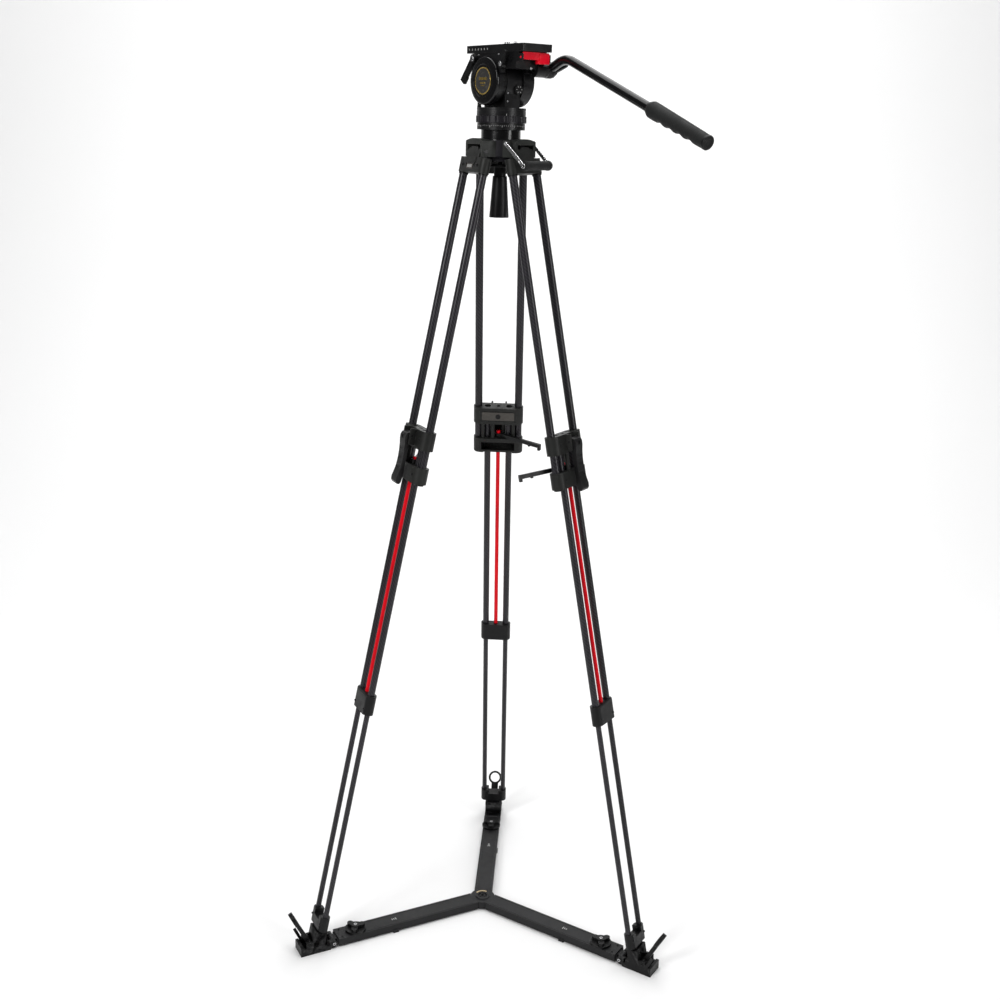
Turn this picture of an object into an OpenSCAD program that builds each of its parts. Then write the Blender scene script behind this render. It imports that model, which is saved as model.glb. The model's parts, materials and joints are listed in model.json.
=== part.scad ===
// Tripod with a fluid head: a 75 mm bowl crown, three twin-tube legs in three stages,
// a ground spreader with foot trays, and a pan and tilt head with a pan bar.
// +Z is up, the origin is on the floor under the pan axis.

/* [Stance] */
// Height of the leg hinge pins above the floor
pivot_z = 1562; // [1562:1:1566]
// Distance of the leg hinge pins from the pan axis
pivot_r = 46; // [46:1:47]
// Angle of each leg from the vertical
leg_angle = 12; // [12:0.5:12.5]
// Direction of the rear leg, seen from above
rear_leg_dir = 86.6; // [80:0.1:95]

/* [Leg tubes] */
// Outer diameter of the upper tubes
upper_d = 15; // [14:0.5:15.5]
// Spacing of the two upper tubes
upper_pair = 81; // [80:1:83]
// Outer diameter of the middle tubes
mid_d = 13; // [12.5:0.5:13]
// Spacing of the two middle and lower tubes
mid_pair = 44; // [43:1:45]
// Outer diameter of the lower tubes
lower_d = 10.5; // [9.5:0.5:10.5]
// Wall of the carbon tubes
tube_wall = 1.05; // [1:0.05:1.1]
// Diameter of the red lock rod
rod_d = 8; // [7:0.5:8]

/* [Head] */
// Direction in which the back of the head points, seen from above
head_yaw = -53; // [-180:1:180]
// Height of the tilt axis
tilt_z = 1684; // [1684:1:1686]
// Radius of the tilt housing
tilt_r = 43; // [42:0.5:43]
// Radius of the pan base
base_r = 44.5; // [44:0.5:45]
// Length of the camera plate
plate_l = 168; // [150:1:170]
// Width of the camera plate
plate_w = 64; // [60:1:66]
// Downward angle of the pan bar
bar_drop = 21; // [15:1:25]
// Diameter of the pan bar
bar_d = 16.5; // [14:0.5:16.5]

/* [Spreader] */
// Width of the spreader arms
arm_w = 38; // [36:1:40]
// Thickness of the spreader arms
arm_t = 16; // [14:1:16]
// Radius at which the arm sleeves end
sleeve_end = 332; // [325:1:333]
// Radius of the outer end of the foot trays
tray_end = 412; // [408:1:416]

/* [Hidden] */
$fn = 64;

// fits and gaps
slip = 0.1;
gap = 0.3;

// stations along a leg, measured down from its hinge pin
yoke_bottom = 38;
clamp_top = 513;
clamp_upper_h = 35;
clamp_low_top = 581;
clamp_low_h = 31;
mid_top = 522;
collar_top = 1040;
collar_h = 39;
lower_top = 1000;
foot_top = 1515;
foot_h = 30;
foot_block_end = 1566;
spike_end = 1579;
bracket_r = 15;

// levels of the crown and the head
crown_top = 1583;
crown_bottom = 1555;
crown_hub_r = 43;
shoulder_r = 54;
shoulder_w = 68;
tongue_w = 53;
ball_z = 1578;
ball_r = 37.5;
ring_bottom = 1601;
ring_h = 12;
drag_bottom = ring_bottom + ring_h;
base_bottom = drag_bottom + ring_h;
base_h = 14;
base_top = base_bottom + base_h;
platform_top = 1732;
plate_t = 13;
plate_mid = 17;
knob_b = 8;
knob_z = tilt_z - 13.5;
pan_lock_r = 40.5;
rosette_a = 73;
rosette_z = 1704;

// places one leg's own frame: hinge pin at the origin, tubes along -Z, outside at +X
module on_leg(k) {
    rotate([0, 0, rear_leg_dir + 120 * (k - 1)])
        translate([pivot_r, 0, pivot_z])
            rotate([0, -leg_angle, 0])
                children();
}

// places one spreader arm's frame: +X outward along the floor
module on_arm(k) {
    rotate([0, 0, rear_leg_dir + 120 * (k - 1)])
        children();
}

// places the head's frame: +X to the back, -Y to the round cap, Z still from the floor
module on_head() {
    rotate([0, 0, head_yaw])
        children();
}

// a cylinder along Y from y0 to y1, centred on x, z
module y_rod(r, y0, y1, x = 0, z = 0) {
    translate([x, y1, z])
        rotate([90, 0, 0])
            cylinder(r = r, h = y1 - y0);
}

// a cylinder along X from x0 to x1, centred on y, z
module x_rod(r, x0, x1, y = 0, z = 0) {
    translate([x0, y, z])
        rotate([0, 90, 0])
            cylinder(r = r, h = x1 - x0);
}

// a box given by its two corners
module span(low, high) {
    translate(low)
        cube(high - low);
}

// a plan outline with round ends, length along Y
module stadium(half_y, r) {
    union() {
        translate([-r, r - half_y])
            square([2 * r, 2 * (half_y - r)]);
        for (s = [-1, 1])
            translate([0, s * (half_y - r)])
                circle(r = r);
    }
}

// a rectangle with rounded corners, centred
module rounded_rect(w, d, r) {
    union() {
        square([w - 2 * r, d], center = true);
        square([w, d - 2 * r], center = true);
        for (i = [-1, 1])
            for (j = [-1, 1])
                translate([i * (w / 2 - r), j * (d / 2 - r)])
                    circle(r = r);
    }
}

// ---------------------------------------------------------------- crown

// one shoulder of the crown: an arched block with a slot and an opening for the leg's tongue
module shoulder() {
    cheek = (shoulder_w - tongue_w) / 2;
    arch_r = 118;
    union() {
        intersection() {
            span([25, -shoulder_w / 2, crown_bottom - 1], [shoulder_r, shoulder_w / 2, crown_top + 6]);
            x_rod(arch_r, 20, shoulder_r + 1, 0, crown_top + 3 - arch_r);
        }
        for (s = [-1, 1])
            y_rod(8, s * (tongue_w / 2 + cheek / 2) - cheek / 2, s * (tongue_w / 2 + cheek / 2) + cheek / 2,
                  pivot_r - 1, pivot_z);
    }
}

module crown_solid() {
    union() {
        difference() {
            translate([0, 0, crown_bottom])
                cylinder(r = crown_hub_r, h = crown_top - crown_bottom);
            // scallops in the wall of the hub
            for (k = [0:2])
                for (s = [-1, 1])
                    rotate([0, 0, rear_leg_dir + 60 + 120 * k + s * 15])
                        translate([crown_hub_r + 9, 0, crown_bottom - 1])
                            cylinder(r = 11, h = crown_top - crown_bottom + 2);
        }
        translate([0, 0, crown_bottom - 9])
            cylinder(r = 33, h = 10);
        for (k = [1:3])
            on_arm(k)
                shoulder();
        // lugs of the carry handle
        on_arm(3)
            for (s = [-1, 1])
                span([carry_r - 7, s * 36.5 - 6.8, carry_z - 6],
                     [carry_r + 6, s * 36.5 + 6.8, carry_z + 5.6]);
    }
}

module crown() {
    color("dimgray")
        difference() {
            crown_solid();
            // bowl for the half ball
            translate([0, 0, ball_z])
                sphere(r = ball_r + gap, $fn = 96);
            translate([0, 0, ball_z])
                cylinder(r = ball_r + gap, h = 20);
            // opening for the tie-down stud
            translate([0, 0, crown_bottom - 20])
                cylinder(r = 22, h = 40);
            for (k = [1:3])
                on_arm(k) {
                    // room for the leg's tongue
                    span([pivot_r - 11, -tongue_w / 2, crown_bottom - 20],
                         [shoulder_r + 2, tongue_w / 2, pivot_z + 13.5]);
                    // hinge pin hole
                    y_rod(4, -shoulder_w, shoulder_w, pivot_r, pivot_z);
                }
            // pivot holes of the carry handle
            on_arm(3) {
                y_rod(3 + slip, 31, 55, carry_r, carry_z);
                y_rod(3 + slip, -55, -31, carry_r, carry_z);
            }
        }
}

module hinge_pins() {
    color("silver")
        for (k = [1:3])
            on_arm(k)
                y_rod(4, -shoulder_w / 2, shoulder_w / 2, pivot_r, pivot_z);
}

// ---------------------------------------------------------------- carry handle

carry_r = 40.3;
carry_z = 1577.2;
carry_half = 43.6;
carry_reach = 38;
carry_drop = 36.5;

// one flat chrome arm with round ends, thickness along Y
module carry_arm(y0) {
    len = norm([carry_reach, carry_drop]);
    translate([carry_r, y0 + 2.5, carry_z])
        rotate([0, atan2(carry_drop, carry_reach), 0])
            rotate([90, 0, 0])
                linear_extrude(2.5)
                    difference() {
                        union() {
                            translate([0, -3.25])
                                square([len, 6.5]);
                            circle(r = 4.2);
                            translate([len, 0])
                                circle(r = 4.2);
                        }
                        translate([len, 0])
                            circle(r = 2);
                        translate([len - 13, -1])
                            square([6, 2]);
                    }
}

module carry_arms() {
    color("gainsboro")
        on_arm(3) {
            carry_arm(carry_half);
            carry_arm(-carry_half - 2.5);
            y_rod(3, 31.5, carry_half + 1, carry_r, carry_z);
            y_rod(3, -carry_half - 1, -31.5, carry_r, carry_z);
        }
}

module carry_grip() {
    color([0.2, 0.2, 0.2])
        on_arm(3)
            difference() {
                union() {
                    y_rod(8, -carry_half + gap, carry_half - gap,
                          carry_r + carry_reach, carry_z - carry_drop);
                    for (s = [-1, 1])
                        y_rod(9, s * 38 - 3, s * 38 + 3, carry_r + carry_reach, carry_z - carry_drop);
                }
                y_rod(2, -carry_half, carry_half, carry_r + carry_reach, carry_z - carry_drop);
            }
}

// ---------------------------------------------------------------- half ball and tie-down

module half_ball() {
    color([0.13, 0.13, 0.14])
        union() {
            intersection() {
                translate([0, 0, ball_z])
                    sphere(r = ball_r, $fn = 96);
                translate([0, 0, ball_z - 33])
                    cylinder(r = 60, h = 39);
            }
            // neck under the graduated ring
            translate([0, 0, ball_z + 5])
                cylinder(r = 36, h = ring_bottom - ball_z - 5);
            // stud of the tie-down handle
            translate([0, 0, 1500])
                cylinder(r = 5, h = ball_z - 1500 - 20);
        }
}

module tie_down_handle() {
    color([0.1, 0.1, 0.1])
        difference() {
            union() {
                // long flared handle
                translate([0, 0, 1446])
                    cylinder(r1 = 18, r2 = 13, h = 74);
                // neck and pressure washer under the crown
                translate([0, 0, 1519])
                    cylinder(r = 11, h = 18);
                translate([0, 0, 1536])
                    cylinder(r = 20, h = 5);
            }
            translate([0, 0, 1495])
                cylinder(r = 5 + slip, h = 60);
            // four shallow flutes down the handle
            for (i = [0:3])
                rotate([0, 0, 45 + 90 * i])
                    translate([25, 0, 1440])
                        cylinder(r = 9, h = 74);
        }
}

// ---------------------------------------------------------------- pan unit

module graduated_ring() {
    color([0.15, 0.15, 0.16])
        difference() {
            union() {
                translate([0, 0, ring_bottom])
                    cylinder(r = 43.5, h = ring_h - gap);
                translate([0, 0, ring_bottom + ring_h - gap - 0.01])
                    cylinder(r = 30, h = ring_h + 0.01);
            }
            for (i = [0:35])
                rotate([0, 0, 10 * i])
                    translate([43, 0, ring_bottom + 3])
                        cylinder(r = 0.6, h = 5);
        }
}

module pan_drag_ring() {
    lobes = 18;
    color([0.12, 0.12, 0.14])
        difference() {
            translate([0, 0, drag_bottom])
                cylinder(r = 46, h = ring_h - gap);
            translate([0, 0, drag_bottom - 1])
                cylinder(r = 30 + slip, h = ring_h + 2);
            for (i = [0:lobes - 1])
                rotate([0, 0, i * 360 / lobes])
                    translate([51.5, 0, drag_bottom + 1.5])
                        cylinder(r = 6.6, h = ring_h);
        }
}

module pan_housing() {
    color([0.2, 0.2, 0.21])
        on_head()
            difference() {
                union() {
                    translate([0, 0, base_bottom])
                        cylinder(r = base_r, h = base_h);
                    // upright that carries the tilt axle
                    span([-30, -16.5, base_top - 1], [32, 16.5, tilt_z]);
                    y_rod(38, -16.5, 16.5, 0, tilt_z);
                }
                y_rod(12 + slip, -20, 20, 0, tilt_z);
                // recess for the bubble level
                translate([-36.8, -12, base_top - 4])
                    cylinder(r = 6, h = 5);
                // bore of the counterbalance spindle, and a pocket for its knob
                x_rod(4 + slip, 20, 50, knob_b, knob_z);
                x_rod(8.8, 33.4, 50, knob_b, knob_z);
                // bore of the pan lock spindle
                rotate([0, 0, 226])
                    translate([pan_lock_r, 0, base_top - 8])
                        cylinder(r = 2.5 + slip, h = 10);
                // seam round the base
                difference() {
                    translate([0, 0, base_bottom + 9])
                        cylinder(r = base_r + 1, h = 1);
                    translate([0, 0, base_bottom + 8])
                        cylinder(r = base_r - 0.6, h = 3);
                }
            }
}

module pan_lock_lever() {
    color([0.08, 0.08, 0.08])
        on_head()
            rotate([0, 0, 226])
                translate([pan_lock_r, 0, base_top])
                    rotate([0, 0, -173])
                        union() {
                            translate([0, 0, -7.5])
                                cylinder(r = 2.5, h = 9);
                            translate([0, 0, gap])
                                cylinder(r = 3.8, h = 3);
                            span([-3.4, -1.9, 1], [3.4, 1.9, 11.2]);
                        }
}

module bubble_level() {
    color("greenyellow")
        on_head()
            translate([-36.8, -12, base_top - 4])
                cylinder(r = 6, h = 4.6);
}

module counterbalance_knob() {
    color([0.1, 0.1, 0.1])
        on_head()
            difference() {
                union() {
                    x_rod(4, 24, 40, knob_b, knob_z);
                    x_rod(8.5, 33.7, 40.5, knob_b, knob_z);
                }
                for (i = [0:7])
                    translate([0, knob_b, knob_z])
                        rotate([45 * i, 0, 0])
                            x_rod(1.6, 35, 42, 9.4, 0);
            }
}

// ---------------------------------------------------------------- tilt unit

module tilt_housing() {
    color([0.14, 0.14, 0.15])
        on_head()
            difference() {
                union() {
                    // right drum, left cheek
                    y_rod(tilt_r, 17, 40, 0, tilt_z);
                    y_rod(41, -36, -27, 0, tilt_z);
                    // webs up to the platform
                    span([-36, -36, tilt_z + 14], [44, -27, platform_top - 5]);
                    span([-38, 17, tilt_z + 14], [48, 34, platform_top - 5]);
                    // platform
                    span([-44, -31, tilt_z + tilt_r], [86, 31, platform_top]);
                    // block at the back under the platform
                    span([40, -31, tilt_z + 20], [80, 14, platform_top - 4]);
                    // ears of the release lever
                    for (b = [-29.5, 30.7])
                        span([78, b - 1.5, platform_top - 16], [96, b + 1.5, platform_top - 4]);
                    // boss of the tilt lock
                    y_rod(7, -36, -29, 47, 1712);
                    // round boss of the rosette, with a web up to the platform
                    y_rod(13, 13, 31, rosette_a, rosette_z);
                    span([48, 13, rosette_z], [76, 31, platform_top - 4]);
                }
                // room for the upright and the drag ring
                y_rod(42, -27, 17, 0, tilt_z);
                // axle bore
                y_rod(12, -50, 50, 0, tilt_z);
                // channel of the camera plate
                span([-60, -22, platform_top - 5], [100, 22, platform_top + 1]);
                // rosette bore
                y_rod(5, 10, 40, rosette_a, rosette_z);
                y_rod(2 + slip, -40, 40, 92, platform_top - 10);
                // lever bores
                y_rod(4 + slip, -50, -20, 47, 1712);
                y_rod(4 + slip, -50, -20, -33, 1722);
                // ring groove on the outer face of the drum
                difference() {
                    y_rod(36, 38.8, 41, 0, tilt_z);
                    y_rod(34.5, 38, 42, 0, tilt_z);
                }
            }
}

module tilt_axle() {
    color("silver")
        on_head()
            difference() {
                y_rod(12, -36, 39.5, 0, tilt_z);
                y_rod(5, -40, 45, 0, tilt_z);
            }
}

module tilt_cap() {
    color([0.1, 0.1, 0.11])
        on_head()
            translate([0, -36, tilt_z])
                rotate([90, 0, 0])
                    rotate_extrude($fn = 96)
                        polygon([[0, 0], [41, 0], [41, 3.5], [40, 5.2], [38, 6.2], [29, 7.6],
                                 [28, 7.6], [28, 6.6], [0, 6.6]]);
}

module tilt_drag_ring() {
    ribs = 24;
    color([0.09, 0.09, 0.1])
        on_head()
            difference() {
                y_rod(36.5, -26.5, -17, 0, tilt_z);
                y_rod(12 + slip, -30, -10, 0, tilt_z);
                for (i = [0:ribs - 1])
                    translate([0, 0, tilt_z])
                        rotate([0, i * 360 / ribs, 0])
                            y_rod(1.8, -28, -18.5, 37.4, 0);
            }
}

module tilt_lock_lever() {
    color([0.09, 0.09, 0.09])
        on_head()
            difference() {
                union() {
                    y_rod(4, -38, -22, 47, 1712);
                    y_rod(7.5, -41, -36.3, 47, 1712);
                    translate([47, -36, 1712])
                        rotate([0, 30, 0])
                            union() {
                                span([-6, -5, 0], [6, -0.3, 19]);
                                y_rod(6, -5, -0.3, 0, 19);
                            }
                }
                y_rod(2.5, -42, -40, 47, 1712);
            }
}

module plate_lock_lever() {
    lever_l = 50;
    color([0.07, 0.07, 0.07])
        on_head()
            difference() {
                union() {
                    y_rod(4, -44, -26, -33, 1722);
                    translate([-33, -43, 1722])
                        rotate([0, 219.5, 0])
                            union() {
                                y_rod(7.5, 0, 6.6);
                                span([-5.5, 0, 0], [5.5, 6.6, lever_l]);
                                span([-7, 0, lever_l - 14], [5.5, 6.6, lever_l]);
                            }
                }
                y_rod(2.5, -46, -42.5, -33, 1722);
            }
}

// ---------------------------------------------------------------- camera plate

module camera_plate() {
    low = plate_mid - plate_l / 2;
    high = plate_mid + plate_l / 2;
    color([0.16, 0.16, 0.17])
        on_head()
            difference() {
                union() {
                    translate([plate_mid, 0, platform_top])
                        linear_extrude(plate_t)
                            rounded_rect(plate_l, plate_w, 3);
                    span([low + 6, -22 + gap, platform_top - 4.6], [high - 39, 22 - gap, platform_top + 1]);
                }
                // long slot for the camera screws
                span([-30, -6.6, platform_top - 6], [64, 6.6, platform_top + plate_t + 1]);
                span([-38, -11, platform_top - 6], [72, 11, platform_top + 6]);
                // row of small slots down each long side
                for (i = [0:6])
                    for (s = [-1, 1])
                        span([low + 5 + 9 * i, s * plate_w / 2 - 2.5, platform_top + 4.5],
                             [low + 10.5 + 9 * i, s * plate_w / 2 + 2.5, platform_top + 8.5]);
            }
}

// one camera screw: head in the plate's recess, thread above the plate
module camera_screw(r, x) {
    translate([x, 0, 0])
        difference() {
            union() {
                translate([0, 0, platform_top + 0.5])
                    cylinder(r = 8.5, h = 5.4);
                translate([0, 0, platform_top + 1])
                    cylinder(r = r, h = plate_t + 5);
            }
            translate([0, 0, platform_top])
                linear_extrude(3)
                    square([11, 1.6], center = true);
        }
}

module camera_screws() {
    color("silver")
        on_head() {
            camera_screw(4.7625, 12);
            camera_screw(3.175, 36);
        }
}

module release_lever() {
    color("red")
        on_head()
            difference() {
                union() {
                    y_rod(3, -26, 28, 92, platform_top - 10);
                    y_rod(2, -31, 32, 92, platform_top - 10);
                    span([88, -27, platform_top - 13.5], [95.5, 5, platform_top - 1.2]);
                    span([88, 5, platform_top - 20], [95.5, 29, platform_top - 1.2]);
                    span([95, 7, platform_top - 19.5], [97.5, 28.5, platform_top - 3]);
                }
                // hollow back of the finger tab
                span([86, 6.5, platform_top - 22], [91, 27.5, platform_top - 14.2]);
                // room beside the platform
                for (s = [-1, 1])
                    span([86, s * 26 - 4.4, platform_top - 6.5], [92, s * 26 + 4.4, platform_top]);
            }
}

// ---------------------------------------------------------------- pan bar

module rosette() {
    teeth = 24;
    color([0.12, 0.12, 0.13])
        on_head()
            difference() {
                union() {
                    y_rod(13, 31, 38, rosette_a, rosette_z);
                    y_rod(5, 15, 44, rosette_a, rosette_z);
                }
                for (i = [0:teeth - 1])
                    translate([rosette_a, 0, rosette_z])
                        rotate([0, i * 360 / teeth, 0])
                            y_rod(0.9, 33, 37, 13.2, 0);
            }
}

bar_b = 47;
bar_rise = 23.6;
bar_bend_r = 50;
bend_a = 100;
bend_z = rosette_z + (bend_a - rosette_a) * tan(bar_rise);
bar_straight = 359;
grip_start = 216;

// follows the bar's frame at the start of its long straight, +X along the bar
module on_bar() {
    translate([bend_a + bar_bend_r * sin(bar_rise), bar_b, bend_z - bar_bend_r * cos(bar_rise)])
        rotate([0, bar_drop, 0])
            translate([0, 0, bar_bend_r])
                children();
}

module pan_bar() {
    color([0.05, 0.05, 0.05])
        on_head()
            difference() {
                union() {
                    y_rod(13, 38.3, 55, rosette_a, rosette_z);
                    translate([rosette_a, bar_b, rosette_z])
                        rotate([0, 90 - bar_rise, 0])
                            cylinder(r = bar_d / 2 - 0.04, h = (bend_a - rosette_a) / cos(bar_rise));
                    translate([bend_a + bar_bend_r * sin(bar_rise), bar_b,
                               bend_z - bar_bend_r * cos(bar_rise)])
                        rotate([90, bar_drop - 90, 0])
                            rotate_extrude(angle = bar_rise + bar_drop)
                                translate([bar_bend_r, 0])
                                    circle(r = bar_d / 2);
                    on_bar()
                        x_rod(bar_d / 2 - 0.04, 0, bar_straight - 12);
                }
                y_rod(5 + slip, 36, 50, rosette_a, rosette_z);
            }
}

module bar_grip() {
    color([0.22, 0.22, 0.22])
        on_head()
            on_bar()
                difference() {
                    union() {
                        x_rod(12, grip_start, grip_start + 5);
                        translate([grip_start + 4, 0, 0])
                            rotate([0, 90, 0])
                                cylinder(r1 = 14.5, r2 = 12, h = bar_straight - grip_start - 4);
                    }
                    x_rod(bar_d / 2, grip_start - 1, bar_straight - 12);
                    // finger grooves
                    for (i = [0:3])
                        y_rod(14, -20, 20, grip_start + 34 + 24 * i, -24);
                }
}

module clamp_wing() {
    color([0.1, 0.1, 0.1])
        on_head()
            union() {
                y_rod(9, 55.4, 61, rosette_a, rosette_z);
                translate([rosette_a, 0, rosette_z])
                    rotate([0, -18, 0])
                        union() {
                            span([0, 56.2, -6], [34, 61, 6]);
                            y_rod(6, 56.2, 61, 34, 0);
                        }
            }
}

// ---------------------------------------------------------------- legs

// casting at the top of a leg: tongue on the hinge pin and a yoke for the two tubes
module leg_yoke() {
    half = upper_pair / 2 + 9.5;
    difference() {
        union() {
            y_rod(8, -tongue_w / 2 + gap, tongue_w / 2 - gap);
            span([-8, -tongue_w / 2 + gap, -12], [8, tongue_w / 2 - gap, 0]);
            translate([0, 0, -yoke_bottom])
                linear_extrude(yoke_bottom - 11)
                    stadium(half, 10.5);
            // raised shield on the outer face
            x_rod(22, 5, 11.4, 0, 4 - 14);
        }
        // the shield ends at the tongue's width and below the crown's arch
        span([-1, -60, 8.5], [14, 60, 40]);
        span([-20, -60, -11], [20, -tongue_w / 2 + gap, 20]);
        span([-20, tongue_w / 2 - gap, -11], [20, 60, 20]);
        span([8, -60, -11], [14, 60, 30]);
        y_rod(4 + slip, -40, 40);
        for (s = [-1, 1])
            translate([0, s * upper_pair / 2, -yoke_bottom - 1])
                cylinder(r = upper_d / 2, h = 25);
        // rebate for a label on the outer face
        span([10, -14, -32], [12, 14, -22]);
    }
}

// plan of a stage clamp bracket: two collars joined by a web
module bracket_plan() {
    difference() {
        stadium(upper_pair / 2 + 10, bracket_r);
        for (s = [-1, 1])
            translate([0, s * upper_pair / 2])
                circle(r = upper_d / 2);
        for (s = [-1, 1])
            translate([0, s * mid_pair / 2])
                circle(r = mid_d / 2 + slip);
        circle(r = rod_d / 2 + slip);
    }
}

// clamp between the upper and the middle stage
module stage_clamp() {
    difference() {
        union() {
            translate([0, 0, -clamp_top - clamp_upper_h])
                linear_extrude(clamp_upper_h)
                    bracket_plan();
            translate([0, 0, -clamp_low_top - clamp_low_h])
                linear_extrude(clamp_low_h)
                    bracket_plan();
            // posts between the two brackets
            for (s = [-1, 1])
                translate([-9 * s, s * 11, -clamp_low_top - 1])
                    cylinder(r = 4, h = clamp_low_top - clamp_top - clamp_upper_h + 2);
            for (s = [-1, 1])
                translate([-9, s * 31, -clamp_low_top - 1])
                    cylinder(r = 3.5, h = clamp_low_top - clamp_top - clamp_upper_h + 2);
            // cam box on the outer face
            difference() {
                span([10, -16, -clamp_top - 31], [27, 16, -clamp_top - 1]);
                span([14.5, -12.5, -clamp_top - 40], [40, 12.5, -clamp_top + 5]);
            }
        }
        // pin of the big lever
        y_rod(2.5, -20, 20, 22, -clamp_top - 15);
        // recessed panel on the inner face
        span([-20, -38, -clamp_top - 29], [-14, 38, -clamp_top - 6]);
        // lightening slots in the lower bracket
        for (s = [-1, 1])
            span([-20, s * 31 - 3.5, -clamp_low_top - 25], [-11, s * 31 + 3.5, -clamp_low_top - 8]);
        // the two collars only, below the web
        span([-12, -29.5, -clamp_low_top - clamp_low_h - 1], [-20, 29.5, -clamp_low_top - clamp_low_h + 5]);
    }
}

module leg_castings(k) {
    color([0.27, 0.27, 0.27])
        on_leg(k) {
            leg_yoke();
            stage_clamp();
        }
}

// one hollow tube between two stations
module tube(d, y, top, bottom) {
    translate([0, y, -bottom])
        difference() {
            cylinder(r = d / 2, h = bottom - top);
            translate([0, 0, -1])
                cylinder(r = d / 2 - tube_wall, h = bottom - top + 2);
        }
}

module upper_tubes(k) {
    color([0.25, 0.24, 0.27])
        on_leg(k)
            for (s = [-1, 1])
                tube(upper_d, s * upper_pair / 2, yoke_bottom - 24, clamp_low_top + clamp_low_h - 1);
}

// side profile of the big clamp lever, x outward, y up
LEVER_SIDE = [[-0.5, 6], [4.4, 5.7], [9.3, 3.5], [11.6, -2], [11.4, -10], [9.6, -20], [8.2, -34], [7.8, -50],
              [8.6, -62], [10.8, -74], [13, -83], [12.6, -90], [9.5, -94], [5, -94], [2.2, -90], [1.2, -80],
              [1.2, -8], [-0.5, -6]];

// big clamp lever with finger ridges
module clamp_lever(k) {
    color([0.1, 0.1, 0.1])
        on_leg(k)
            translate([22, 0, -clamp_top - 15])
                difference() {
                    union() {
                        y_rod(7, -12, 12);
                        translate([0, 12, 0])
                            rotate([90, 0, 0])
                                linear_extrude(24)
                                    polygon(LEVER_SIDE);
                        y_rod(2.5 - slip / 2, -16, 16);
                    }
                    // dimple and finger ridges
                    x_rod(4, 10.2, 13, 0, -4);
                    for (i = [0:6])
                        y_rod(1.3, -9, 9, 9.2, -28 - 6 * i);
                }
}

// hooked lever that turns the lock rod, between the two brackets
module rod_lever(k) {
    low = clamp_low_top - gap;
    tall = 8;
    color([0.12, 0.12, 0.12])
        on_leg(k)
            translate([0, 0, -low])
                rotate([0, 0, -30])
                    difference() {
                        union() {
                            cylinder(r = 7.4, h = tall);
                            span([-3, -98, 0], [3, -4, tall]);
                            // hook and tooth at the free end
                            span([-3.6, -102, -5], [3.6, -97, tall]);
                            span([-3, -78, -2.5], [3, -74, 1]);
                        }
                        translate([0, 0, -1])
                            cylinder(r = rod_d / 2 + slip, h = tall + 2);
                    }
}

// collar at the lower end of the middle stage
module mid_collar() {
    difference() {
        translate([0, 0, -collar_top - collar_h])
            linear_extrude(collar_h)
                difference() {
                    stadium(mid_pair / 2 + 10.5, 11);
                    for (s = [-1, 1])
                        translate([0, s * mid_pair / 2])
                            circle(r = lower_d / 2 + slip);
                }
        for (s = [-1, 1])
            translate([0, s * mid_pair / 2, -collar_top - 22])
                cylinder(r = mid_d / 2, h = 30);
        translate([0, 0, -collar_top - 32])
            cylinder(r = rod_d / 2 + slip, h = 40);
        // sloped lip on the outer face
        translate([14, 0, -collar_top + 1])
            rotate([0, 25, 0])
                cube([12, 80, 10], center = true);
    }
}

module mid_stage(k) {
    color([0.2, 0.2, 0.21])
        on_leg(k) {
            for (s = [-1, 1])
                tube(mid_d, s * mid_pair / 2, mid_top, collar_top + 22);
            mid_collar();
        }
}

module lock_rod(k) {
    color("crimson")
        on_leg(k)
            translate([0, 0, -collar_top - 30])
                cylinder(r = rod_d / 2, h = collar_top + 30 - 568);
}

// foot bracket with a block and two spikes
module leg_foot() {
    union() {
        difference() {
            translate([0, 0, -foot_top - foot_h])
                linear_extrude(foot_h)
                    stadium(29.5, 10);
            for (s = [-1, 1])
                translate([0, s * mid_pair / 2, -foot_top - 22])
                    cylinder(r = lower_d / 2, h = 30);
            span([-12, -12, -foot_top - 10], [12, 12, -foot_top + 1]);
        }
        span([-7, -14, -foot_block_end], [7, 14, -foot_top - foot_h + 1]);
        for (s = [-1, 1])
            translate([0, 9 * s, -spike_end])
                cylinder(r1 = 0.8, r2 = 4.5, h = spike_end - foot_block_end + 0.5);
    }
}

module lower_stage(k) {
    color([0.15, 0.15, 0.16])
        on_leg(k) {
            for (s = [-1, 1])
                tube(lower_d, s * mid_pair / 2, lower_top, foot_top + 22);
            leg_foot();
        }
}

// ---------------------------------------------------------------- spreader

knob_r = 290;
arm_low = 3;
hinge_r = 342;
hinge_z = arm_low + arm_t / 2;
wall = 3;

module spreader_hub() {
    color([0.2, 0.2, 0.21])
        difference() {
            union() {
                translate([0, 0, arm_low])
                    cylinder(r = 26, h = arm_t);
                // middle foot pad
                cylinder(r = 18, h = arm_low + 1);
                translate([0, 0, arm_low + arm_t - 0.5])
                    cylinder(r = 15, h = 2.5);
            }
            translate([0, 0, arm_low + arm_t - 2])
                cylinder(r = 9, h = 6);
        }
}

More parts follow.
